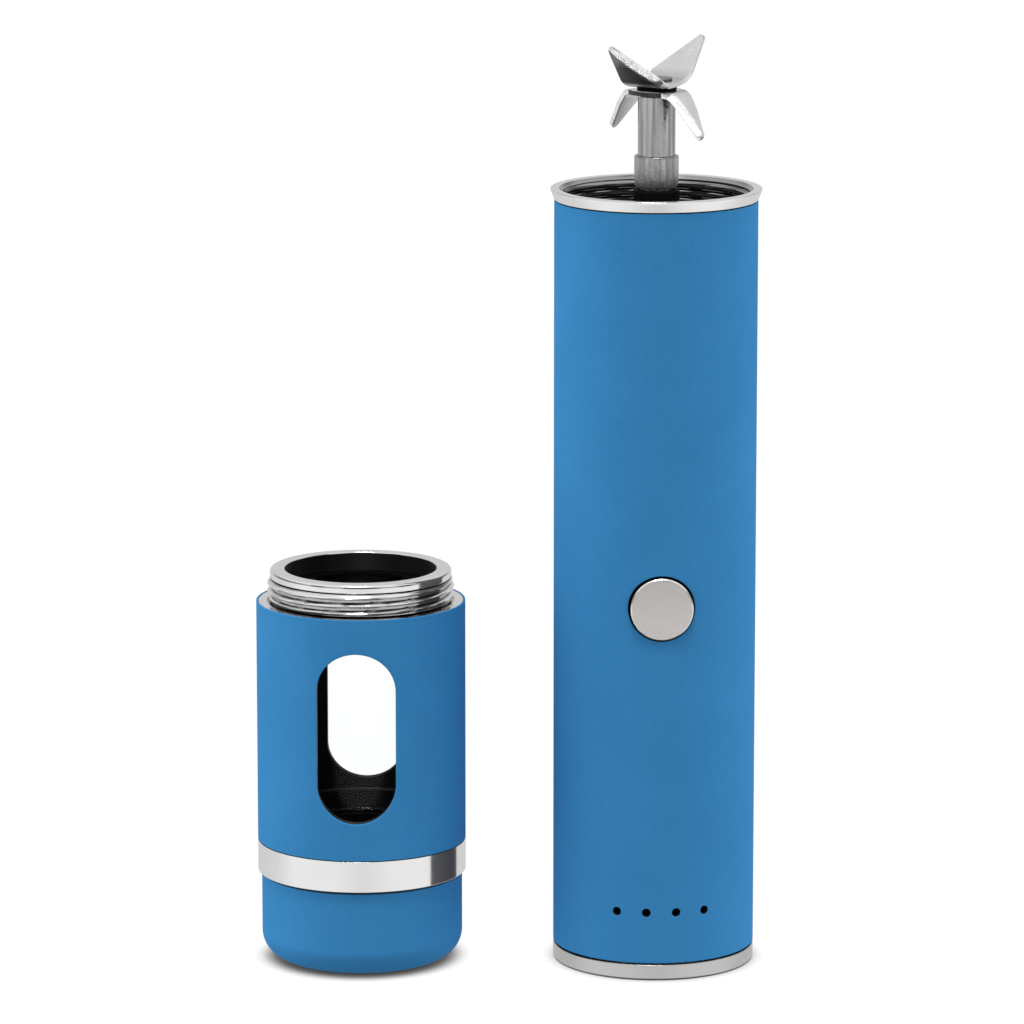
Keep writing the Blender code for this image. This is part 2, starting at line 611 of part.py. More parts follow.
def main():
    clear_scene()
    body = joint_frame("body_frame", (0, 0, 0))
    cutter = joint_frame("cutter_axis", (0, 0, UPPER_HUB))
    button = joint_frame("button_axis", (0, -BODY_RADIUS, BUTTON_HEIGHT))
    chamber = joint_frame("chamber_axis", (CHAMBER_X, CHAMBER_Y, SLEEVE_LOW))
    seal = joint_frame("cap_slide_axis", (CHAMBER_X, CHAMBER_Y, CAP_HIGH))
    cap = joint_frame("cap_turn_axis", (CHAMBER_X, CHAMBER_Y, CAP_HIGH))
    make_casing(body)
    make_deck(body)
    make_motor(body)
    make_power(body)
    make_button(body, button)
    make_rotor(cutter)
    make_chamber(chamber)
    make_cap(seal, cap)


main()
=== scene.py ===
"""Looks for the rechargeable herb grinder: fine meshes and procedural materials on the CAD frame.

Outlines are in millimetres, in the frame's own coordinates, and MM turns them into metres. Outer
sizes come from the CAD nodes' boxes; the sizes that a box can't give are named below.
"""

import json
import math

import bmesh
import bpy
from mathutils import Matrix, Vector


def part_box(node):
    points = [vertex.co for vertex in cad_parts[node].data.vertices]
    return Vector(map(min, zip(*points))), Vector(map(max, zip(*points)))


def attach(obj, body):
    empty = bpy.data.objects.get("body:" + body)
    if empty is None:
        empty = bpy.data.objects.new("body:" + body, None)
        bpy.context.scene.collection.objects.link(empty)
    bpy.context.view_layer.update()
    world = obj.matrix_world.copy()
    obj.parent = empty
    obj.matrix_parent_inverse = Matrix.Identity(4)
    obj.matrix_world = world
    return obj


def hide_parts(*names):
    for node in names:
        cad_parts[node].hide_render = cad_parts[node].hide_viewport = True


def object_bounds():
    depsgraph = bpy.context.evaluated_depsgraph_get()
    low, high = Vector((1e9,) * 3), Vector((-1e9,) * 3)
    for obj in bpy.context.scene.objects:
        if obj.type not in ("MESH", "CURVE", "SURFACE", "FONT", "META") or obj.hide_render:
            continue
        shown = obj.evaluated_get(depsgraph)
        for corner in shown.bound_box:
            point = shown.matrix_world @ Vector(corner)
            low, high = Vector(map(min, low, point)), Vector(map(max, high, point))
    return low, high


MM = 0.001

# Mesh fineness.
ROUND = 192
SMALL_ROUND = 96
CORNER_STEPS = 5
ROWS_PER_PITCH = 14
BLADE_STEPS = 72
FRONT_COLUMNS = 24
BACK_COLUMNS = 120
SLEEVE_COLUMNS = 180
FOOT_STEPS = 16
SLOT_STEPS = 8
RIVET_HOLE_SEGMENTS = 48
SHARP_ANGLE = math.radians(40)

# Sizes that the boxes of the CAD nodes don't give, in millimetres.
NECK_PITCH = 1.5
NECK_CREST = 72.67
CAP_PITCH = 1.35
THREAD_DEPTH = 0.3
NECK_DEPTH = 0.42
TUBE_BORE = 17.6
TUBE_SOCKET = 18.45
TUBE_SOCKET_LOW = 134.5
RING_MOUTH = 18.1
RING_SPIGOT = 18.25
RING_THREAD = 17.5
RING_THREAD_LOW = 141.3
RING_BORE = 17.2
PORT_HALF_WIDTH = 4.4
PORT_HALF_DEPTH = 2.0
PORT_CORNER = 1.3
BUTTON_RADIUS = 5.87
BUTTON_HOLE_RADIUS = 6.2
BUTTON_CROWN = 0.3
LED_HOLE_RADIUS = 0.82
LED_HEIGHT = 12.9
LED_ANGLES = (-25.1, -8.0, 9.0, 26.1)
NECK_BORE = 14.3
NECK_MAJOR = 17.55
NECK_LIP = 17.1
NECK_ROOT = 16.65
FLANGE_RADIUS = 19.32
LINER_BORE = 14.2
SOCKET_RADIUS = 17.35
SOCKET_BORE = 15.55
SOCKET_SHELF = 23.9
SLEEVE_MOUTH = 19.35
SLEEVE_MOUTH_LOW = 67.5
WINDOW_WIDTH = 14.7
WINDOW_LOW = 30.0
WINDOW_HIGH = 62.4
WINDOW_TURN = -4.4
CAP_FILLET = 5.0
CAP_GASKET_RADIUS = 18.6
CAP_GASKET_BORE = 17.0
SPINDLE_BODY = 3.5
SPINDLE_NECK = 3.0
RIVET_HOLE = 1.8
LOWER_HUB = 164.95
UPPER_HUB = 166.7
BLADE_SHADE_REACH = 20.0

# Blade plate, in millimetres: thickness, easing of its edges, and the way from the bend's start
# over which the bevel comes in. The bevel takes GROUND_SHARE of the thickness at its edge.
PLATE = 1.05
EDGE_EASE = 0.12
BEVEL_FADE = 0.8
GROUND_SHARE = 0.74

# Noise cells for each metre in the lathe lines of turned steel.
LATHE_LINES = 9000

# Camera, fitted to the view of the object: millimetres and degrees.
CAMERA_PLACE = (-81.53, -1108.54, 304.83)
CAMERA_YAW = 2.823
CAMERA_PITCH = -11.159
CAMERA_LENS = 211.97
SENSOR_WIDTH = 36.0

# Light: strengths from the sides, front, top and foot, and of the backdrop.
SIDE_LIGHT = 1.50
FRONT_LIGHT = 0.20
TOP_LIGHT = 0.55
LOW_LIGHT = 0.10
BACKDROP = 1.05

# A soft lamp nearly overhead: strength, and its width, tilt and turn in degrees.
LAMP_LIGHT = 1.5
LAMP_WIDTH = 18
LAMP_TILT = 17
LAMP_TURN = -14

# The floor, in metres: its size, its drop below the CAD, and how far a contact shadow reaches.
FLOOR_SIZE = 12
FLOOR_DROP = 0.0002
CONTACT_REACH = 0.0048

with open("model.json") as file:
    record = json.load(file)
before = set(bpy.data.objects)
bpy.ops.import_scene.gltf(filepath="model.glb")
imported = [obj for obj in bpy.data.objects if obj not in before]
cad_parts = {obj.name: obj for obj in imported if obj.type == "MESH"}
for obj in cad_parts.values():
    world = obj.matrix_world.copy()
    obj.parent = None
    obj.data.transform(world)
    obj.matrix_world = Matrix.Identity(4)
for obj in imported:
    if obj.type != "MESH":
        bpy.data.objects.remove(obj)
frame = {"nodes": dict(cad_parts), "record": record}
cad_low, cad_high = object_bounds()


# ---- Sizes from the frame ----

def low_z(node):
    """Foot of a CAD node, in millimetres."""
    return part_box(node)[0].z / MM


def high_z(node):
    """Top of a CAD node, in millimetres."""
    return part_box(node)[1].z / MM


def radius_of(node):
    """Outer radius of a CAD node that is round about Z, in millimetres."""
    low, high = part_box(node)
    return (high.y - low.y) / 2 / MM


def centre_of(node):
    """Middle of a CAD node's box, in metres."""
    low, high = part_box(node)
    return (low + high) / 2


CHAMBER = centre_of("chamber_sleeve") / MM
BUTTON_Z = centre_of("button_cap").z / MM


# ---- Material nodes ----

class Nodes:
    """A material's or the world's node tree, with a short call for each kind of node used."""

    def __init__(self, name, world=False):
        owners = bpy.data.worlds if world else bpy.data.materials
        self.material = owners.new(name)
        self.material.use_nodes = True
        self.tree = self.material.node_tree
        self.shader = self.tree.nodes["Background" if world else "Principled BSDF"]
        self.output = self.tree.nodes["World Output" if world else "Material Output"]

    def add(self, kind, inputs=(), **settings):
        node = self.tree.nodes.new(kind)
        for key, value in settings.items():
            setattr(node, key, value)
        for key, value in dict(inputs).items():
            if isinstance(value, bpy.types.NodeSocket):
                self.tree.links.new(value, node.inputs[key])
            else:
                node.inputs[key].default_value = value
        return node

    def link(self, start, end):
        self.tree.links.new(start, end)

    def place(self, scale=(1, 1, 1)):
        """Object coordinates, in metres, times a scale on each axis."""
        where = self.add("ShaderNodeTexCoord").outputs["Object"]
        mapping = self.add("ShaderNodeMapping", {"Vector": where, "Scale": scale})
        return mapping.outputs["Vector"]

    def noise(self, scale, detail=2.0, rough=0.5, stretch=(1, 1, 1)):
        return self.add("ShaderNodeTexNoise", {
            "Vector": self.place(stretch), "Scale": scale, "Detail": detail, "Roughness": rough,
        }).outputs["Fac"]

    def around(self, scale, x=0.0, y=0.0):
        """Noise that only changes along a turned part's axis and with its radius: lathe lines."""
        where = self.add("ShaderNodeTexCoord").outputs["Object"]
        parts = self.add("ShaderNodeSeparateXYZ", {"Vector": where}).outputs
        across = self.add("ShaderNodeCombineXYZ", {
            "X": self.sum(parts["X"], -x), "Y": self.sum(parts["Y"], -y), "Z": 0.0,
        }).outputs["Vector"]
        radius = self.add("ShaderNodeVectorMath", {0: across}, operation="LENGTH").outputs["Value"]
        line = self.add("ShaderNodeCombineXYZ", {
            "X": self.times(radius, scale), "Y": 0.0, "Z": self.times(parts["Z"], scale),
        }).outputs["Vector"]
        return self.add("ShaderNodeTexNoise", {
            "Vector": line, "Scale": 1.0, "Detail": 3.0, "Roughness": 0.65,
        }).outputs["Fac"]

    def math(self, operation, first, second):
        node = self.add("ShaderNodeMath", {0: first, 1: second}, operation=operation)
        return node.outputs["Value"]

    def sum(self, first, second):
        return self.math("ADD", first, second)

    def times(self, first, second):
        return self.math("MULTIPLY", first, second)

    def mix(self, share, first, second):
        """first where share is 0, second where it is 1."""
        node = self.add("ShaderNodeMix", {0: share, 2: first, 3: second})
        return node.outputs[0]

    def fade(self, value, low, high):
        """0 below low, 1 above high, and a smooth change between them."""
        return self.add("ShaderNodeMapRange", {
            "Value": value, "From Min": low, "From Max": high,
        }, interpolation_type="SMOOTHSTEP").outputs["Result"]

    def ramp(self, value, stops):
        """A colour ramp over (position, colour or grey) stops."""
        node = self.add("ShaderNodeValToRGB", {"Fac": value})
        elements = node.color_ramp.elements
        while len(elements) < len(stops):
            elements.new(0.5)
        for element, (position, colour) in zip(elements, stops):
            element.position = position
            element.color = (*colour, 1) if isinstance(colour, tuple) else (colour,) * 3 + (1,)
        return node.outputs["Color"]

    def bump(self, height, strength, depth):
        """A bump whose depth is in metres."""
        return self.add("ShaderNodeBump", {
            "Height": height, "Strength": strength, "Distance": depth,
        }).outputs["Normal"]

    def blend(self, share, first, second):
        """The first colour where share is 0, the second where it is 1."""
        node = self.add("ShaderNodeMix", {"Factor": share, "A": first, "B": second},
                        data_type="RGBA")
        return node.outputs["Result"]

    def principled(self, **values):
        for key, value in values.items():
            socket = self.shader.inputs[key.replace("_", " ")]
            if isinstance(value, bpy.types.NodeSocket):
                self.link(value, socket)
            else:
                socket.default_value = value
        return self.material


def soft_touch_paint():
    """Blue rubbery paint: fine grain, faint mottling and a soft sheen.

    Where bright metal mirrors it, a painted reflection colour makes it grey.
    """
    n = Nodes("soft_touch_blue")
    grain = n.noise(4200, 3.0, 0.7)
    mottle = n.noise(60, 2.0, 0.5)
    tone = n.sum(n.times(grain, 0.75), n.times(mottle, 0.25))
    colour = n.ramp(tone, [
        (0.30, (0.036, 0.215, 0.475)), (0.5, (0.045, 0.245, 0.535)), (0.70, (0.055, 0.280, 0.600)),
    ])
    # Painted reflection: glossy rays see the paint as plain grey.
    mirrored = n.add("ShaderNodeLightPath").outputs["Is Glossy Ray"]
    colour = n.blend(mirrored, colour, (0.13, 0.13, 0.135, 1))
    rough = n.ramp(grain, [(0.3, 0.50), (0.7, 0.62)])
    normal = n.bump(grain, 0.35, 0.00004)
    return n.principled(Base_Color=colour, Roughness=rough, Normal=normal, Specular_IOR_Level=0.12,
                        IOR=1.1)


def turned_steel(name, shade, rough, x=0.0, y=0.0, painted_shade_reach=0.0):
    """Steel with fine lathe lines round the axis at x, y.

    The last argument, in metres, is the width of the hollows that get painted shade; 0 paints none.
    """
    n = Nodes(name)
    lines = n.around(LATHE_LINES, x * MM, y * MM)
    cloud = n.noise(160, 3.0, 0.6)
    tone = n.sum(n.times(lines, 0.5), n.times(cloud, 0.5))
    colour = n.ramp(tone, [(0.3, shade * 0.93), (0.7, shade)])
    if painted_shade_reach:
        # Painted shade: ambient occlusion darkens the colour in the hollows.
        open_air = n.add("ShaderNodeAmbientOcclusion", {"Distance": painted_shade_reach}, samples=8)
        exposed = n.fade(open_air.outputs["AO"], 0.45, 0.85)
        colour = n.blend(exposed, (0.03, 0.03, 0.03, 1), colour)
    roughness = n.ramp(lines, [(0.3, rough * 0.8), (0.7, rough * 1.25)])
    normal = n.bump(lines, 0.12, 0.00002)
    return n.principled(Base_Color=colour, Metallic=1.0, Roughness=roughness, Normal=normal)


def painted_inner_shade():
    """Painted shade inside the cups: nearly black metal, its sheen drawn out along the axis."""
    n = Nodes("painted_inner_shade")
    cloud = n.noise(400, 3.0, 0.6)
    colour = n.ramp(cloud, [(0.3, 0.002), (0.7, 0.005)])
    roughness = n.ramp(cloud, [(0.3, 0.57), (0.7, 0.63)])
    around = n.add("ShaderNodeTangent", direction_type="RADIAL", axis="Z").outputs["Tangent"]
    return n.principled(Base_Color=colour, Metallic=0.2, Roughness=roughness, Anisotropic=0.9,
                        Anisotropic_Rotation=0.25, Tangent=around, Specular_IOR_Level=0.3,
                        Normal=n.bump(cloud, 0.02, 0.00001))


def drawn_steel():
    """Drawn bar: streaks along its length, partly drawing marks and partly painted reflection, and small
    bright and dull spots.
    """
    n = Nodes("spindle_steel")
    # Streaks in the colour: drawing marks and painted reflection.
    streaks = n.noise(1500, 3.0, 0.6, (1, 1, 0.03))
    spots = n.noise(1300, 3.0, 0.7)
    tone = n.sum(n.times(streaks, 0.75), n.times(spots, 0.25))
    colour = n.ramp(tone, [(0.36, 0.24), (0.5, 0.42), (0.62, 0.58)])
    roughness = n.ramp(spots, [(0.35, 0.2), (0.65, 0.4)])
    return n.principled(Base_Color=colour, Metallic=1.0, Roughness=roughness,
                        Normal=n.bump(spots, 0.25, 0.00005))


def ground_steel():
    """Bright bevels with coarse grinding marks."""
    n = Nodes("ground_edge")
    marks = n.noise(1800, 4.0, 0.75, (1, 1, 0.6))
    colour = n.ramp(marks, [(0.35, 0.62), (0.55, 1.0)])
    return n.principled(Base_Color=colour, Metallic=1.0, Roughness=0.32,
                        Normal=n.bump(marks, 0.6, 0.00008))


def blade_steel():
    """Brushed stainless sheet, with painted shade on the undersides of the raised arms, darkest halfway
    out.
    """
    n = Nodes("blade_steel")
    brushed = n.noise(2600, 3.0, 0.6, (1, 1, 0.12))
    cloud = n.noise(220, 2.0, 0.5)
    tone = n.sum(n.times(brushed, 0.5), n.times(cloud, 0.5))
    # Painted shade: the down-facing faces of the raised arms darken with their reach from the axis.
    normal = n.add("ShaderNodeNewGeometry").outputs["Normal"]
    facing = n.add("ShaderNodeSeparateXYZ", {"Vector": normal}).outputs["Z"]
    height = n.add("ShaderNodeSeparateXYZ", {"Vector": n.place()}).outputs["Z"]
    arms_low = low_z("upper_blade")
    raised = n.fade(height, arms_low * MM, (arms_low + 1) * MM)
    flat = n.add("ShaderNodeVectorMath", {0: n.place(), 1: (1, 1, 0)}, operation="MULTIPLY")
    reach = n.add("ShaderNodeVectorMath", {0: flat.outputs["Vector"]}, operation="LENGTH")
    share_of_reach = n.times(reach.outputs["Value"], 1 / (BLADE_SHADE_REACH * MM))
    tint = n.ramp(share_of_reach, [(0.25, 0.85), (0.5, 0.3), (0.68, 0.75)])
    tint = n.mix(n.times(raised, n.fade(facing, -0.45, -0.6)), 1.0, tint)
    colour = n.times(n.ramp(tone, [(0.3, 0.60), (0.7, 0.74)]), tint)
    return n.principled(Base_Color=colour, Metallic=1.0, Normal=n.bump(brushed, 0.12, 0.00002),
                        Roughness=n.ramp(brushed, [(0.3, 0.17), (0.7, 0.27)]))


def satin_button():
    """Bead-blasted warm grey metal."""
    n = Nodes("button_metal")
    grain = n.noise(5200, 2.0, 0.6)
    colour = n.ramp(grain, [(0.3, (0.62, 0.588, 0.575)), (0.7, (0.74, 0.705, 0.69))])
    return n.principled(Base_Color=colour, Metallic=0.85, Roughness=0.46,
                        Normal=n.bump(grain, 0.2, 0.00003))


def clear_glass():
    """Clear liner: straight-through light with a faint edge tint and a clean reflection."""
    n = Nodes("clear_glass")
    haze = n.noise(300, 2.0, 0.5)
    clear = n.add("ShaderNodeBsdfTransparent", {"Color": (0.997, 1.0, 1.0, 1)})
    gloss = n.add("ShaderNodeBsdfGlossy", {
        "Color": (0.9, 0.92, 0.92, 1), "Roughness": n.ramp(haze, [(0.3, 0.02), (0.7, 0.05)]),
    })
    edge = n.add("ShaderNodeFresnel", {"IOR": 1.35})
    share = n.times(edge.outputs["Fac"], 0.2)
    mixed = n.add("ShaderNodeMixShader", {
        "Fac": share, 1: clear.outputs["BSDF"], 2: gloss.outputs["BSDF"],
    })
    n.link(mixed.outputs["Shader"], n.output.inputs["Surface"])
    n.tree.nodes.remove(n.shader)
    return n.material


def mottled(name, dark, light, rough, metallic=0.0, scale=900, shine=0.5):
    """A plain material with a fine change of tone and a fine bump."""
    n = Nodes(name)
    cloud = n.noise(scale, 3.0, 0.6)
    colour = n.ramp(cloud, [(0.3, dark), (0.7, light)])
    roughness = n.ramp(cloud, [(0.3, rough * 0.85), (0.7, min(rough * 1.15, 1.0))])
    return n.principled(Base_Color=colour, Metallic=metallic, Roughness=roughness,
                        Specular_IOR_Level=shine, Normal=n.bump(cloud, 0.25, 0.00003))


def circuit_board():
    """Green solder mask with paler copper tracks under it."""
    n = Nodes("board_green")
    tracks = n.add("ShaderNodeTexBrick", {
        "Vector": n.place(), "Scale": 420.0, "Mortar Size": 0.06,
        "Color1": (0.012, 0.11, 0.045, 1), "Color2": (0.016, 0.14, 0.06, 1),
        "Mortar": (0.03, 0.24, 0.10, 1),
    })
    return n.principled(Base_Color=tracks.outputs["Color"], Roughness=0.35,
                        Normal=n.bump(tracks.outputs["Fac"], 0.2, 0.00003))


def make_looks():
    """One material for each slot of the record, and the extra finishes that meshes use."""
    return {
        "soft_touch_blue": soft_touch_paint(),
        "bright_steel": turned_steel("bright_steel", 0.86, 0.20),
        # base_steel is a darker copy of the bright steel: painted shade, for a base that mirrors the
        # shaded floor by its foot.
        "base_steel": turned_steel("base_steel", 0.56, 0.26),
        # The neck's and band's threads get painted shade in their hollows.
        "chamber_steel": turned_steel("chamber_steel", 0.84, 0.12, CHAMBER.x, CHAMBER.y, 0.0009),
        "spindle_steel": drawn_steel(),
        "painted_inner_shade": painted_inner_shade(),
        "blade_steel": blade_steel(),
        "ground_edge": ground_steel(),
        "rivet_steel": mottled("rivet_steel", 0.16, 0.30, 0.4, 1.0, 2400),
        # dark_steel: painted shade on the lower blade's hub walls, under the upper blade.
        "dark_steel": mottled("dark_steel", 0.03, 0.09, 0.4, 1.0, 1800),
        # cup_steel is a darker copy of the ring's steel, with painted shade in its hollows.
        "cup_steel": turned_steel("cup_steel", 0.36, 0.2, painted_shade_reach=0.0012),
        "button_metal": satin_button(),
        "button_edge": turned_steel("button_edge", 0.85, 0.2),
        "clear_glass": clear_glass(),
        "black_rubber": mottled("black_rubber", 0.002, 0.005, 0.75, shine=0.08),
        "black_plastic": mottled("black_plastic", 0.004, 0.010, 0.5, shine=0.3),
        "bronze": mottled("bronze", (0.30, 0.17, 0.06), (0.46, 0.29, 0.12), 0.45, 1.0),
        "motor_steel": mottled("motor_steel", 0.40, 0.52, 0.35, 1.0),
        "ferrite": mottled("ferrite", 0.02, 0.04, 0.65),
        "copper": mottled("copper", (0.55, 0.22, 0.10), (0.72, 0.36, 0.20), 0.35, 1.0),
        "cell_wrap": mottled("cell_wrap", (0.01, 0.12, 0.04), (0.015, 0.17, 0.06), 0.35),
        "board_green": circuit_board(),
        "smoked_clear": mottled("smoked_clear", 0.001, 0.002, 0.6, shine=0.05),
        "red_wire": mottled("red_wire", (0.35, 0.01, 0.01), (0.48, 0.02, 0.02), 0.45),
        "black_wire": mottled("black_wire", 0.008, 0.018, 0.45),
        "grey_ribbon": mottled("grey_ribbon", 0.22, 0.30, 0.5),
    }


LOOKS = make_looks()


# ---- Mesh building ----

def add_piece(name, mesh_in_mm, looks, body, stands_for):
    """Makes the piece from a bmesh in millimetres, and puts it in place of its CAD node."""
    bmesh.ops.scale(mesh_in_mm, vec=(MM, MM, MM), verts=mesh_in_mm.verts)
    mesh = bpy.data.meshes.new(name)
    mesh_in_mm.to_mesh(mesh)
    mesh_in_mm.free()
    for entry in looks:
        mesh.materials.append(LOOKS[entry])
    mesh.shade_smooth()
    mesh.set_sharp_from_angle(angle=SHARP_ANGLE)
    piece = bpy.data.objects.new(name, mesh)
    bpy.context.scene.collection.objects.link(piece)
    weighted = piece.modifiers.new("weighted_normals", "WEIGHTED_NORMAL")
    weighted.keep_sharp = True
    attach(piece, body)
    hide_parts(stands_for)
    return piece


def onto_chamber(mesh_in_mm):
    """Moves a mesh built round the Z axis onto the chamber's axis."""
    bmesh.ops.translate(mesh_in_mm, vec=(CHAMBER.x, CHAMBER.y, 0), verts=mesh_in_mm.verts)


def outward(mesh_in_mm):
    """Turns every face to look out of the solid."""
    bmesh.ops.recalc_face_normals(mesh_in_mm, faces=mesh_in_mm.faces)
    if mesh_in_mm.calc_volume(signed=True) < 0:
        bmesh.ops.reverse_faces(mesh_in_mm, faces=mesh_in_mm.faces)


def thread(middle, low, high, pitch, depth=THREAD_DEPTH, crest=0.0):
    """Rows of (radius, height, depth, pitch, crest) for a helix that fades in and out.

    A crest of the thread faces the front at the height crest.
    """
    steps = round((high - low) / pitch * ROWS_PER_PITCH)
    fade = ROWS_PER_PITCH / 2
    rows = []
    for row in range(steps + 1):
        share = min(1, row / fade, (steps - row) / fade)
        rows.append((middle, low + (high - low) * row / steps, depth * share, pitch, crest))
    return rows


def rounded(outline):
    """The outline with each corner (radius, height, "r", fillet) turned into an arc."""
    points = []
    count = len(outline)
    for index, corner in enumerate(outline):
        if len(corner) != 4:
            points.append(corner)
            continue
        here = Vector(corner[:2])
        before = Vector(outline[index - 1][:2]) - here
        after = Vector(outline[(index + 1) % count][:2]) - here
        opening = before.angle(after)
        fillet = corner[3]
        reach = min(fillet / math.tan(opening / 2), 0.48 * before.length, 0.48 * after.length)
        first = here + before.normalized() * reach
        last = here + after.normalized() * reach
        for step in range(CORNER_STEPS + 1):
            t = step / CORNER_STEPS
            bend = (1 - t) ** 2 * first + 2 * t * (1 - t) * here + t ** 2 * last
            points.append((bend.x, bend.y))
    return points


def lathe(outline, segments=ROUND):
    """Turns an outline round the Z axis. Ends on the axis close it; any other is a loop."""
    made = bmesh.new()
    rings = []
    for radius, height, *helix in rounded(outline):
        if radius < 1e-6:
            rings.append([made.verts.new((0, 0, height))])
            continue
        ring = []
        for step in range(segments):
            angle = 2 * math.pi * step / segments
            reach = radius
            if helix:
                depth, pitch, crest = helix
                turn = 2 * math.pi * (height - crest) / pitch - angle - math.pi / 2
                reach += depth * max(-1, min(1, 1.4 * math.cos(turn) - 0.25))
            ring.append(made.verts.new((reach * math.cos(angle), reach * math.sin(angle), height)))
        rings.append(ring)
    pairs = list(zip(rings, rings[1:]))
    if len(rings[0]) > 1:
        pairs.append((rings[-1], rings[0]))
    for first, second in pairs:
        for step in range(segments):
            after = (step + 1) % segments
            if len(first) == 1:
                made.faces.new((first[0], second[after], second[step]))
            elif len(second) == 1:
                made.faces.new((first[step], first[after], second[0]))
            else:
                made.faces.new((first[step], first[after], second[after], second[step]))
    outward(made)
    return made


def faces_inward(face, reach):
    """True for a face within a radius of the Z axis whose normal points at the axis or up."""
    middle = face.calc_center_median()
    distance = math.hypot(middle.x, middle.y)
    if distance > reach:
        return False
    radial = (middle.x * face.normal.x + middle.y * face.normal.y) / max(distance, 1e-6)
    return radial < 0.3


def turned(name, outline, looks, body, segments=ROUND):
    """A turned piece of one look on the body's own axis."""
    return add_piece(name + "_fine", lathe(outline, segments), looks, body, name)


def plain_ring(name, radius, bore, fillet, look, body="chamber"):
    """A ring on the chamber's axis with its four edges rounded."""
    low, high = low_z(name), high_z(name)
    corners = ((radius, low), (radius, high), (bore, high), (bore, low))
    made = lathe([(*corner, "r", fillet) for corner in corners])
    onto_chamber(made)
    add_piece(name + "_fine", made, [look], body, name)


class Hole:
    """A round-ended hole straight through a cylinder's wall, at an angle from the front."""

    def __init__(self, angle, low, high, radius, columns, fillet):
        self.angle = angle
        self.low, self.high = low, high
        self.radius = radius
        self.columns = columns
        self.fillet = fillet

    def outline(self, x, z, grow):
        """The hole's edge nearest to a point of the wall, pushed out by grow."""
        core = min(max(z, self.low + self.radius), self.high - self.radius)
        away = Vector((x, z - core)).normalized() * (self.radius + grow)
        return Vector((away.x, away.y + core))


def wall_point(made, hole, reach, x, z, depth=0.0):
    """A vertex of the wall beside a hole, given across and up from the hole's own front view."""
    y = -math.sqrt(reach * reach - x * x) + depth
    cosine, sine = math.cos(hole.angle), math.sin(hole.angle)
    return made.verts.new((x * cosine - y * sine, x * sine + y * cosine, z))


def hole_rings(made, hole, rim, spots, way):
    """Rings of vertices from a block's rim to the hole's throat, way 1 outside and -1 inside.

    spots lists (wall radius, across, up) for each vertex of the rim, seen from the hole's front.
    """
    fillet = hole.fillet if way > 0 else hole.fillet * 0.5
    rings = [rim]
    for share in (0.25, 0.5, 0.75, 1.0):
        ring = []
        for radius, x, z in spots:
            spot = Vector((x, z)).lerp(hole.outline(x, z, fillet), share)
            ring.append(wall_point(made, hole, radius, spot.x, spot.y))
        rings.append(ring)
    for step in range(1, CORNER_STEPS + 1):
        turn = math.pi / 2 * step / CORNER_STEPS
        depth = way * fillet * (1 - math.cos(turn))
        ring = []
        for radius, x, z in spots:
            spot = hole.outline(x, z, fillet * (1 - math.sin(turn)))
            ring.append(wall_point(made, hole, radius, spot.x, spot.y, depth))
        rings.append(ring)
    return rings


def bridge(made, first, second):
    """Faces between two closed rings of the same length."""
    for k in range(len(first)):
        after = (k + 1) % len(first)
        made.faces.new((first[k], first[after], second[after], second[k]))


def pierced_wall(angles, outer, inner, holes):
    """A tube's wall as one closed mesh, with real holes that have rounded edges.

    angles are the columns, from the front towards +X. outer and inner list (height, radius) rows
    of the same length, which meet at the rims. Each hole takes the place of a block of cells.
    """
    made = bmesh.new()
    count = len(angles)
    skins = []
    for rows in (outer, inner):
        skins.append([[made.verts.new((radius * math.sin(a), -radius * math.cos(a), height))
                       for a in angles] for height, radius in rows])
    taken = set()
    for hole in holes:
        middle = min(range(count), key=lambda i: abs(math.remainder(angles[i] - hole.angle, math.tau)))
        left, right = middle - hole.columns, middle + hole.columns
        inside = [j for j, (height, _) in enumerate(outer)
                  if hole.low - hole.fillet * 3 < height < hole.high + hole.fillet * 3]
        bottom, top = inside[0] - 1, inside[-1] + 1
        taken.update((i % count, j) for i in range(left, right) for j in range(bottom, top))
        edge = [(i, bottom) for i in range(left, right)] + [(right, j) for j in range(bottom, top)]
        edge += [(i, top) for i in range(right, left, -1)]
        edge += [(left, j) for j in range(top, bottom, -1)]
        throats = []
        for skin, rows, way in ((skins[0], outer, 1), (skins[1], inner, -1)):
            rim = [skin[j][i % count] for i, j in edge]
            spots = [(rows[j][1], rows[j][1] * math.sin(angles[i % count] - hole.angle), rows[j][0])
                     for i, j in edge]
            rings = hole_rings(made, hole, rim, spots, way)
            for first, second in zip(rings, rings[1:]):
                bridge(made, first, second)
            throats.append(rings[-1])
        bridge(made, *throats)
    for skin in skins:
        for j in range(len(skin) - 1):
            for i in range(count):
                if (i, j) not in taken:
                    after = (i + 1) % count
                    made.faces.new((skin[j][i], skin[j][after], skin[j + 1][after], skin[j + 1][i]))
    for j in (0, -1):
        bridge(made, skins[0][j], skins[1][j])
    outward(made)
    return made


def spaced(low, high, step):
    """Even heights from low to high, about step apart."""
    count = max(1, round((high - low) / step))
    return [low + (high - low) * k / count for k in range(count + 1)]


def rim_rows(heights, radius, low, high, fillet):
    """(height, radius) rows of an outer wall whose two rims are rounded."""
    bottom = []
    for step in range(CORNER_STEPS + 1):
        turn = math.pi / 2 * step / CORNER_STEPS
        bottom.append((low + fillet * (1 - math.sin(turn)), radius - fillet * (1 - math.cos(turn))))
    bottom.sort()
    middle = [(z, radius) for z in heights if low + fillet < z < high - fillet]
    top = sorted((high - (z - low), r) for z, r in bottom)
    return bottom + middle + top


# ---- Motor body ----

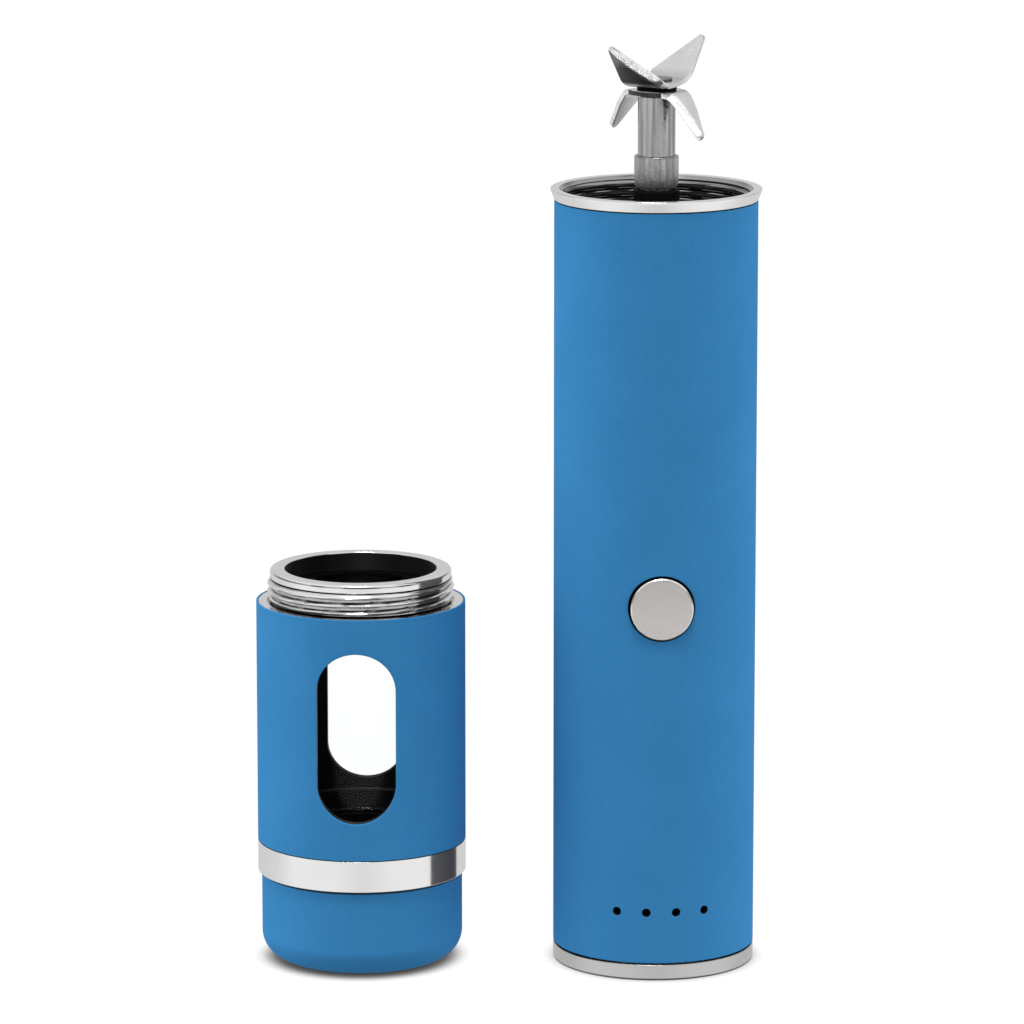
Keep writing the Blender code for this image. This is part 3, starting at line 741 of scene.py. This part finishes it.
def body_tube():
    """Painted tube with its button hole and four light holes."""
    low, high = low_z("body_tube"), high_z("body_tube")
    radius = radius_of("body_tube")
    light_low, light_high = LED_HEIGHT - LED_HOLE_RADIUS, LED_HEIGHT + LED_HOLE_RADIUS
    button_low, button_high = BUTTON_Z - BUTTON_HOLE_RADIUS, BUTTON_Z + BUTTON_HOLE_RADIUS
    heights = spaced(low, light_low - 0.9, 3.0) + spaced(light_low - 0.6, light_high + 0.6, 0.35)
    heights += spaced(light_high + 2, button_low - 2, 5) + spaced(button_low - 0.9, button_high + 0.9, 0.6)
    heights += spaced(button_high + 2.5, TUBE_SOCKET_LOW, 5) + spaced(TUBE_SOCKET_LOW + 0.2, high, 3)
    outer = rim_rows(heights, radius, low, high, 0.18)
    inner = [(z, TUBE_SOCKET if z > TUBE_SOCKET_LOW + 0.1 else TUBE_BORE) for z, _ in outer]
    fine = math.radians(1.45)
    front = [fine * k for k in range(-FRONT_COLUMNS, FRONT_COLUMNS + 1)]
    coarse = (2 * math.pi - 2 * FRONT_COLUMNS * fine) / BACK_COLUMNS
    angles = front + [front[-1] + coarse * k for k in range(1, BACK_COLUMNS)]
    holes = [Hole(0.0, button_low, button_high, BUTTON_HOLE_RADIUS, 15, 0.15)]
    for angle in LED_ANGLES:
        holes.append(Hole(math.radians(angle), light_low, light_high, LED_HOLE_RADIUS, 3, 0.05))
    made = pierced_wall(angles, outer, inner, holes)
    # Painted shade: the faces inside the tube are nearly black.
    for face in made.faces:
        if faces_inward(face, radius - 0.3):
            face.material_index = 1
    add_piece("body_tube_fine", made, ["soft_touch_blue", "painted_inner_shade"], "body", "body_tube")


def top_ring():
    """Bright flange over a threaded cup whose steel is a darker copy with painted shade in its hollows;
    painted shade makes it black where it sits in the tube.
    """
    low, high = low_z("top_ring"), high_z("top_ring")
    radius = radius_of("top_ring")
    root = RING_THREAD + THREAD_DEPTH
    made = lathe([
        (19.0, high - 2.05, "r", 0.1), (radius - 0.1, high - 0.45, "r", 0.2),
        (radius, high, "r", 0.22), (RING_MOUTH, high, "r", 0.1), (root, high - 0.5),
        *reversed(thread(RING_THREAD, RING_THREAD_LOW, high - 0.75, NECK_PITCH)),
        (root, RING_THREAD_LOW - 0.1), (root, 139.5), (RING_BORE, 139.3), (RING_BORE, low),
        (RING_SPIGOT, low), (RING_SPIGOT, high - 2.05),
    ])
    # Painted shade: the cup's faces take the darker steel, and the part in the tube takes the black inner
    # shade.
    for face in made.faces:
        if faces_inward(face, 17.95):
            face.material_index = 1
        elif face.calc_center_median().z < high - 2.0:
            face.material_index = 2
    add_piece("top_ring_fine", made, ["bright_steel", "cup_steel", "painted_inner_shade"], "body",
              "top_ring")


def base_cap():
    """Flat turned base with rounded edges and the charging port's opening."""
    low, high = low_z("base_cap"), high_z("base_cap")
    radius = radius_of("base_cap")
    piece = turned("base_cap", [
        (0, low), (radius, low, "r", 0.35), (radius, 2.78, "r", 0.15), (17.35, 2.78),
        (17.35, high), (15.4, high), (15.4, 3.0), (0, 3.0),
    ], ["base_steel"], "body")
    port = centre_of("usb_socket") / MM
    cutter = rounded_slot(PORT_HALF_WIDTH, PORT_HALF_DEPTH, PORT_CORNER, low - 2, 5)
    bmesh.ops.translate(cutter, vec=(port.x, port.y, 0), verts=cutter.verts)
    carve(piece, cutter, "port_cutter")


def rounded_slot(half_width, half_depth, corner, low, high):
    """A prism over a rectangle with round corners."""
    made = bmesh.new()
    outline = []
    for quarter, (sx, sy) in enumerate(((1, 1), (-1, 1), (-1, -1), (1, -1))):
        for step in range(SLOT_STEPS + 1):
            turn = math.pi / 2 * (quarter + step / SLOT_STEPS)
            outline.append((sx * (half_width - corner) + corner * math.cos(turn),
                            sy * (half_depth - corner) + corner * math.sin(turn)))
    base = [made.verts.new((x, y, low)) for x, y in outline]
    top = [made.verts.new((x, y, high)) for x, y in outline]
    made.faces.new(reversed(base))
    made.faces.new(top)
    for k in range(len(outline)):
        after = (k + 1) % len(outline)
        made.faces.new((base[k], base[after], top[after], top[k]))
    outward(made)
    return made


def carve(piece, cutter_mesh, name):
    """Cuts a shape out of a finished piece and keeps the result as its mesh."""
    bmesh.ops.scale(cutter_mesh, vec=(MM, MM, MM), verts=cutter_mesh.verts)
    mesh = bpy.data.meshes.new(name)
    cutter_mesh.to_mesh(mesh)
    cutter_mesh.free()
    cutter = bpy.data.objects.new(name, mesh)
    bpy.context.scene.collection.objects.link(cutter)
    boolean = piece.modifiers.new("carve", "BOOLEAN")
    boolean.object = cutter
    boolean.operation = "DIFFERENCE"
    piece.modifiers.move(1, 0)
    graph = bpy.context.evaluated_depsgraph_get()
    piece.modifiers["weighted_normals"].show_viewport = False
    graph.update()
    carved = bpy.data.meshes.new_from_object(piece.evaluated_get(graph))
    piece.modifiers.remove(boolean)
    piece.data = carved
    carved.set_sharp_from_angle(angle=SHARP_ANGLE)
    piece.modifiers["weighted_normals"].show_viewport = True
    bpy.data.objects.remove(cutter)


def chamber_deck():
    """Black floor of the threaded cup."""
    low, high = low_z("chamber_deck"), high_z("chamber_deck")
    radius = radius_of("chamber_deck")
    turned("chamber_deck", [
        (radius, low), (radius, 139.2, "r", 0.3), (5.7, 139.2, "r", 0.2), (5.7, high, "r", 0.3),
        (3.4, high), (3.4, 138.8), (4.7, 138.8), (4.7, low),
    ], ["black_plastic"], "body")


def shaft_seal():
    """Rubber boss round the spindle's foot."""
    low, high = low_z("shaft_seal"), high_z("shaft_seal")
    turned("shaft_seal", [
        (5.1, low), (5.1, 142.6, "r", 0.5), (4.35, 143.4, "r", 0.4), (4.3, high - 0.6, "r", 0.35),
        (3.25, high - 0.6), (3.25, low),
    ], ["black_rubber"], "body", segments=SMALL_ROUND)


def button():
    """Satin disc with a bright turned edge, facing the front."""
    low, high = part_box("button_cap")
    back = high.y / MM
    rise = back - low.y / MM
    made = lathe([
        *[(r, rise - BUTTON_CROWN * (r / BUTTON_RADIUS) ** 2) for r in range(6)],
        (BUTTON_RADIUS - 0.22, rise - 0.27, "r", 0.08), (BUTTON_RADIUS, rise - 0.5, "r", 0.12),
        (BUTTON_RADIUS, rise - 0.9), (BUTTON_RADIUS - 0.05, 1.25), (7.0, 1.25, "r", 0.1),
        (7.0, 0.45, "r", 0.1), (1.7, 0.45), (1.7, 0), (0, 0),
    ], SMALL_ROUND)
    for face in made.faces:
        middle = face.calc_center_median()
        if math.hypot(middle.x, middle.y) > BUTTON_RADIUS - 0.24:
            face.material_index = 1 if middle.z > rise - 0.9 else 2
    turn = Matrix.Rotation(math.radians(90), 4, "X")
    place = Matrix.Translation((0, back, BUTTON_Z))
    bmesh.ops.transform(made, matrix=place @ turn, verts=made.verts)
    add_piece("button_cap_fine", made, ["button_metal", "button_edge", "black_rubber"], "button",
              "button_cap")


# ---- Spindle and blades ----

def spindle():
    """Stepped shaft with a hollow top for the rivet."""
    low, high = low_z("spindle"), high_z("spindle")
    turned("spindle", [
        (0, 129.4), (1.68, 129.0), (1.68, low), (SPINDLE_NECK, low, "r", 0.2),
        (SPINDLE_NECK, 147.8), (SPINDLE_BODY, 147.9), (SPINDLE_BODY, high, "r", 0.15),
        (1.75, high), (1.75, 158.0), (0, 157.7),
    ], ["spindle_steel"], "cutter", segments=SMALL_ROUND)


def spindle_collar():
    """Sleeve round the spindle, its foot tapered and roughly ground."""
    low, high = low_z("spindle_collar"), high_z("spindle_collar")
    radius = radius_of("spindle_collar")
    made = lathe([
        (4.0, low - 0.6, "r", 0.2), (radius, low + 1.0, "r", 0.4), (radius, high, "r", 0.3),
        (3.57, high), (3.57, low - 0.6),
    ], SMALL_ROUND)
    for face in made.faces:
        if face.calc_center_median().z < low + 1.0:
            face.material_index = 1
    add_piece("spindle_collar_fine", made, ["spindle_steel", "ground_edge"], "cutter",
              "spindle_collar")


def blade_spacer():
    """Black washer between the two blades."""
    low, high = low_z("blade_spacer"), high_z("blade_spacer")
    turned("blade_spacer", [
        (3.7, low, "r", 0.12), (3.7, high, "r", 0.12), (RIVET_HOLE, high), (RIVET_HOLE, low),
    ], ["black_rubber"], "cutter", segments=SMALL_ROUND)


def blade_rivet():
    """Flat-headed rivet through both blades."""
    low, high = low_z("blade_rivet"), high_z("blade_rivet")
    turned("blade_rivet", [
        (0, low), (1.6, low, "r", 0.1), (1.6, 167.3), (2.9, 167.3, "r", 0.08),
        (2.85, high - 0.1, "r", 0.15), (1.4, high, "r", 0.5), (0, high - 0.05),
    ], ["rivet_steel"], "cutter", segments=SMALL_ROUND)


def bent(along, start, radius, angle):
    """Reach, rise and slope of a point at a distance along a blade once its arm is bent."""
    side = math.copysign(1, along)
    distance = abs(along)
    way = math.copysign(1, angle)
    if distance <= start:
        return along, 0.0, 0.0
    turn = min((distance - start) / radius, abs(angle))
    straight = distance - start - turn * radius
    reach = start + radius * math.sin(turn) + straight * math.cos(turn)
    rise = radius * (1 - math.cos(turn)) + straight * math.sin(turn)
    return side * reach, way * rise, side * way * turn


def between(arm, along):
    """The two edges of an arm at a distance along it, read off its outline."""
    for (s0, low0, high0), (s1, low1, high1) in zip(arm, arm[1:]):
        if along <= s1:
            share = (along - s0) / (s1 - s0)
            return low0 + (low1 - low0) * share, high0 + (high1 - high0) * share
    return arm[-1][1:]


def blade(name, arm, bend, hub, heading, bevel, edge_side, hub_edge):
    """A two-armed blade from one bent plate, the same after half a turn.

    arm lists (distance along, right edge, left edge) from the middle out to a tip. Seven lines of
    points run along the plate, with its two edges eased. The ground bevel along one edge of each
    arm is cut into the face that looks away from the tips.
    """
    tip = arm[-1][0]
    half = PLATE / 2
    ground_below = bend[2] > 0
    made = bmesh.new()
    rows = []
    for step in range(-BLADE_STEPS, BLADE_STEPS + 1):
        along = tip * step / BLADE_STEPS
        side = math.copysign(1, along)
        low, high = sorted(side * edge for edge in between(arm, abs(along)))
        reach, rise, slope = bent(along, *bend)
        width = min(bevel, 0.45 * (high - low))
        fade = min(1.0, max(0.0, (abs(along) - bend[0]) / BEVEL_FADE))
        edge = low if side * edge_side < 0 else high
        row = []
        for across in (low, low + EDGE_EASE, low + width, (low + high) / 2, high - width,
                       high - EDGE_EASE, high):
            drop = GROUND_SHARE * PLATE * fade * max(0.0, 1 - abs(across - edge) / width)
            round_off = EDGE_EASE if across in (low, high) and drop == 0 else 0.0
            upper = half - round_off - (0 if ground_below else drop)
            lower = round_off - half + (drop if ground_below else 0)
            row.append([made.verts.new((
                reach - offset * math.sin(slope), across, rise + offset * math.cos(slope),
            )) for offset in (upper, lower)])
        rows.append((row, edge == low, fade > 0.3))
    skin = 1 if ground_below else 0
    for (row, edge_low, _), (after, _, is_ground) in zip(rows, rows[1:]):
        columns = len(row) - 1
        for column in range(columns):
            for face in (0, 1):
                made_face = made.faces.new((row[column][face], row[column + 1][face],
                                            after[column + 1][face], after[column][face]))
                near_edge = column < 2 if edge_low else column >= columns - 2
                if is_ground and near_edge and face == skin:
                    made_face.material_index = 1
        for column in (0, columns):
            made_face = made.faces.new((row[column][0], row[column][1], after[column][1],
                                        after[column][0]))
            made_face.material_index = 1 if is_ground else hub_edge
    for row, _, _ in (rows[0], rows[-1]):
        for column in range(len(row) - 1):
            made.faces.new((row[column][0], row[column + 1][0], row[column + 1][1], row[column][1]))
    outward(made)
    spin = Matrix.Rotation(math.radians(heading), 3, "Z")
    bmesh.ops.rotate(made, cent=(0, 0, 0), matrix=spin, verts=made.verts)
    bmesh.ops.translate(made, vec=(0, 0, hub), verts=made.verts)
    piece = add_piece(name + "_fine", made, ["blade_steel", "ground_edge", "dark_steel"], "cutter",
                      name)
    hole = lathe([(0, hub - 3), (RIVET_HOLE, hub - 3), (RIVET_HOLE, hub + 3), (0, hub + 3)],
                 RIVET_HOLE_SEGMENTS)
    carve(piece, hole, name + "_hole")


def blades():
    """Upper blade with broad arms bent up, lower blade with narrow arms bent down."""
    upper = [(0, -4.5, 4.5), (1.8, -4.0, 4.65), (3.6, -3.4, 4.75), (5.2, -3.35, 4.85),
             (6.8, -3.45, 4.85), (7.5, -3.45, 4.7), (8.2, -3.4, 4.2), (15.2, -2.85, -1.35),
             (16.0, -2.7, -1.9)]
    blade("upper_blade", upper, (3.6, 5.4, math.radians(46.5)), UPPER_HUB, 56, 1.2, 1, 0)
    lower = [(0, -4.6, 4.6), (2.4, -4.2, 4.0), (4.0, -3.45, 3.2), (4.9, -3.2, 2.85),
             (5.8, -3.0, 2.55), (6.75, -2.8, 2.3), (9.3, -2.5, 1.6), (13.0, -2.3, 0.05),
             (14.8, -2.2, -0.65), (15.4, -1.85, -1.2)]
    # Its hub walls take dark_steel, painted shade under the upper blade.
    blade("lower_blade", lower, (4.0, 3.3, math.radians(-47.5)), LOWER_HUB, -45, 1.35, -1, 2)


# ---- Chamber ----

def chamber_sleeve():
    """Painted sleeve with its two windows, black inside with painted shade."""
    low, high = low_z("chamber_sleeve"), high_z("chamber_sleeve")
    radius = radius_of("chamber_sleeve")
    turn = math.radians(WINDOW_TURN)
    heights = spaced(low, WINDOW_LOW - 2.0, 1.5) + spaced(WINDOW_LOW - 1.2, WINDOW_HIGH + 1.2, 0.7)
    heights += spaced(WINDOW_HIGH + 2.0, SLEEVE_MOUTH_LOW - 0.1, 1.5)
    heights += [SLEEVE_MOUTH_LOW + 0.1, SLEEVE_MOUTH_LOW + 0.5]
    outer = rim_rows(heights, radius, low - 0.05, high, 0.1)
    inner = [(z, SLEEVE_MOUTH if z > SLEEVE_MOUTH_LOW else TUBE_BORE) for z, _ in outer]
    angles = [turn + 2 * math.pi * k / SLEEVE_COLUMNS for k in range(SLEEVE_COLUMNS)]
    half = WINDOW_WIDTH / 2
    holes = [Hole(turn + side, WINDOW_LOW, WINDOW_HIGH, half, 13, 0.22) for side in (0, math.pi)]
    made = pierced_wall(angles, outer, inner, holes)
    for face in made.faces:
        if faces_inward(face, radius - 0.5):
            face.material_index = 1
    onto_chamber(made)
    add_piece("chamber_sleeve_fine", made, ["soft_touch_blue", "painted_inner_shade"], "chamber",
              "chamber_sleeve")


def neck_ring():
    """Bright threaded neck and shoulder; its bore is black with painted shade."""
    low, high = low_z("neck_ring"), high_z("neck_ring")
    made = lathe([
        (SOCKET_BORE, 71.4), (NECK_BORE, 71.4), (NECK_BORE, high, "r", 0.25),
        (NECK_LIP, high, "r", 1.1), (NECK_LIP, high - 1.5, "r", 0.15),
        (NECK_MAJOR - NECK_DEPTH * 1.6, high - 1.75),
        *reversed(thread(NECK_MAJOR - NECK_DEPTH, 69.1, high - 1.8, NECK_PITCH, NECK_DEPTH,
                         NECK_CREST)),
        (NECK_ROOT, 69.0), (NECK_ROOT, 68.6), (17.55, 68.6), (17.65, 68.85, "r", 0.08),
        (FLANGE_RADIUS, 68.85, "r", 0.12), (FLANGE_RADIUS, 67.7), (SOCKET_RADIUS, 67.7),
        (SOCKET_RADIUS, low), (SOCKET_BORE, low),
    ])
    for face in made.faces:
        if face.calc_center_median().z < high - 0.3 and faces_inward(face, 16.0):
            face.material_index = 1
    onto_chamber(made)
    add_piece("neck_ring_fine", made, ["chamber_steel", "painted_inner_shade"], "chamber", "neck_ring")


def liner_and_gaskets():
    """Glass tube behind the windows with polished round ends, and the rubber rings at them."""
    plain_ring("glass_liner", radius_of("glass_liner"), LINER_BORE, 0.3, "clear_glass")
    for name in ("upper_gasket", "lower_gasket"):
        plain_ring(name, radius_of(name), LINER_BORE, 0.15, "black_rubber")


def connector_band():
    """Bright band round the foot of the sleeve; painted shade makes the socket inside it black."""
    low, high = low_z("connector_band"), high_z("connector_band")
    top = low_z("chamber_sleeve") - 0.17
    radius = radius_of("connector_band")
    made = lathe([
        (radius - 0.2, low, "r", 0.05), (radius, low + 0.2, "r", 0.1), (radius, top, "r", 0.06),
        (SOCKET_RADIUS, top), (SOCKET_RADIUS, high, "r", 0.3), (SOCKET_BORE, high, "r", 0.3),
        (SOCKET_BORE, SOCKET_SHELF), (13.6, SOCKET_SHELF, "r", 0.2), (13.6, 22.0), (17.1, 22.0),
        *reversed(thread(17.0, 17.3, 21.6, CAP_PITCH)), (17.4, low),
    ])
    for face in made.faces:
        middle = face.calc_center_median()
        if middle.z > 21.8 and faces_inward(face, 17.5):
            # Painted shade: the socket's wall takes the black inner shade and its shelf black rubber.
            face.material_index = 1 if middle.z > SOCKET_SHELF + 1 else 2
    onto_chamber(made)
    add_piece("connector_band_fine", made, ["chamber_steel", "painted_inner_shade", "black_rubber"],
              "chamber", "connector_band")


def end_cap():
    """Painted screw cap with a large rounded foot, black with painted shade inside and on its threaded
    collar.
    """
    low, high = low_z("end_cap"), high_z("end_cap")
    radius = radius_of("end_cap")
    shoulder = low_z("connector_band") - 0.4
    foot = []
    for step in range(FOOT_STEPS + 1):
        turn = math.pi / 2 * step / FOOT_STEPS
        foot.append((radius - CAP_FILLET + CAP_FILLET * math.sin(turn),
                     low + CAP_FILLET - CAP_FILLET * math.cos(turn)))
    made = lathe([
        (0, low), *foot, (radius, shoulder, "r", 0.15), (16.4, shoulder), (16.4, 16.9),
        *thread(16.62, 17.0, 21.3, CAP_PITCH), (15.9, high, "r", 0.1), (14.9, high, "r", 0.1),
        (14.9, 4.4, "r", 1.5), (12.7, 2.2, "r", 1.5), (0, 2.2),
    ])
    for face in made.faces:
        middle = face.calc_center_median()
        if math.hypot(middle.x, middle.y) < 17.2 and middle.z > 2.0:
            face.material_index = 1
    onto_chamber(made)
    add_piece("end_cap_fine", made, ["soft_touch_blue", "painted_inner_shade"], "cap", "end_cap")


def cap_gasket():
    """Flat rubber ring between the cap and the band."""
    plain_ring("cap_gasket", CAP_GASKET_RADIUS, CAP_GASKET_BORE, 0.1, "black_rubber", "cap_seal")


def dress_inner_parts():
    """Gives every CAD node that stays its own finish, from the record's material slots."""
    slots = {entry["node"]: entry["material_slot"] for entry in frame["record"]["subparts"]}
    for name, node in frame["nodes"].items():
        node.data.materials.clear()
        node.data.materials.append(LOOKS[slots[name]])


# ---- Stage ----

def white_floor():
    """Pale seamless floor that only the camera sees, shaded where something stands on it."""
    n = Nodes("floor_white")
    open_air = n.add("ShaderNodeAmbientOcclusion", {"Distance": CONTACT_REACH}, samples=16)
    shade = n.ramp(open_air.outputs["AO"], [(0.0, 0.03), (0.25, 0.16), (0.43, 0.45), (0.6, 0.82),
                                             (0.8, 1.0)])
    speckle = n.ramp(n.noise(3.0, 2.0, 0.5), [(0.3, 1.0), (0.7, 1.04)])
    glow = n.add("ShaderNodeEmission", {"Color": shade, "Strength": speckle})
    n.link(glow.outputs["Emission"], n.output.inputs["Surface"])
    n.tree.nodes.remove(n.shader)
    bpy.ops.mesh.primitive_grid_add(x_subdivisions=8, y_subdivisions=8, size=FLOOR_SIZE)
    floor = bpy.context.active_object
    floor.name = "floor"
    floor.location.z = cad_low.z - FLOOR_DROP
    floor.visible_diffuse = False
    floor.visible_glossy = False
    floor.data.materials.append(n.material)


def studio():
    """Soft light from both sides, and the white and black cards that the bright metal mirrors.

    The camera sees plain white. Bearings run from 0 towards the camera to 1 straight behind.
    """
    n = Nodes("studio", world=True)
    n.shader.inputs["Color"].default_value = (1, 1, 1, 1)
    way = n.add("ShaderNodeSeparateXYZ", {
        "Vector": n.add("ShaderNodeTexCoord").outputs["Generated"],
    }).outputs
    side = n.times(way["X"], way["X"])
    above = n.math("MAXIMUM", way["Z"], 0.0)
    from_below = n.fade(way["Z"], -0.9, -0.1)
    soft = n.sum(n.times(side, SIDE_LIGHT), n.mix(from_below, LOW_LIGHT, FRONT_LIGHT))
    soft = n.sum(soft, n.times(n.times(above, above), TOP_LIGHT))
    turn = n.math("ARCTAN2", way["X"], n.times(way["Y"], -1.0))
    bearing = n.times(n.math("ABSOLUTE", turn, 0.0), 1 / math.pi)
    ground = n.ramp(bearing, [(0.0, 0.86), (0.18, 0.98), (0.45, 1.0), (0.62, 0.80), (1.0, 0.66)])
    horizon = n.ramp(bearing, [
        (0.0, 0.01), (0.11, 0.02), (0.14, 0.45), (0.25, 0.42), (0.28, 0.03), (0.36, 0.04),
        (0.39, 0.5), (0.50, 0.22), (0.72, 0.18), (0.85, 0.66), (1.0, 0.66),
    ])
    foot = n.ramp(bearing, [(0.0, 0.20), (0.4, 0.35), (0.6, 0.10), (0.85, 0.08), (1.0, 0.28)])
    roof = n.ramp(bearing, [(0.0, 0.80), (0.3, 1.0), (0.6, 0.9), (1.0, 0.7)])
    mirrored = n.mix(n.fade(way["Z"], -0.88, -0.78), foot, ground)
    mirrored = n.mix(n.fade(way["Z"], -0.06, 0.02), mirrored, horizon)
    mirrored = n.mix(n.fade(way["Z"], 0.32, 0.50), mirrored, roof)
    rays = n.add("ShaderNodeLightPath").outputs
    light = n.mix(rays["Is Glossy Ray"], soft, mirrored)
    n.link(n.mix(rays["Is Camera Ray"], light, BACKDROP), n.shader.inputs["Strength"])
    bpy.context.scene.world = n.material
    bpy.context.scene.view_settings.view_transform = "Standard"


def high_lamp():
    """Soft lamp above and in front, which draws the button's shadow on the tube."""
    data = bpy.data.lights.new("high_lamp", "SUN")
    data.energy = LAMP_LIGHT
    data.angle = math.radians(LAMP_WIDTH)
    lamp = bpy.data.objects.new("high_lamp", data)
    lamp.rotation_euler = (math.radians(LAMP_TILT), 0, math.radians(LAMP_TURN))
    bpy.context.scene.collection.objects.link(lamp)


def camera():
    """The photo's camera, as fitted to the object's rims and edges."""
    data = bpy.data.cameras.new("camera")
    data.sensor_width = SENSOR_WIDTH
    data.lens = CAMERA_LENS
    data.clip_start = 0.05
    data.clip_end = 50
    view = bpy.data.objects.new("camera", data)
    view.location = Vector(CAMERA_PLACE) * MM
    yaw, pitch = math.radians(CAMERA_YAW), math.radians(CAMERA_PITCH)
    ahead = Vector((math.sin(yaw) * math.cos(pitch), math.cos(yaw) * math.cos(pitch),
                    math.sin(pitch)))
    view.rotation_euler = ahead.to_track_quat("-Z", "Y").to_euler()
    bpy.context.scene.collection.objects.link(view)
    bpy.context.scene.camera = view


dress_inner_parts()
body_tube()
top_ring()
base_cap()
chamber_deck()
shaft_seal()
button()
spindle()
spindle_collar()
blade_spacer()
blade_rivet()
blades()
chamber_sleeve()
neck_ring()
liner_and_gaskets()
connector_band()
end_cap()
cap_gasket()
white_floor()
studio()
high_lamp()
camera()
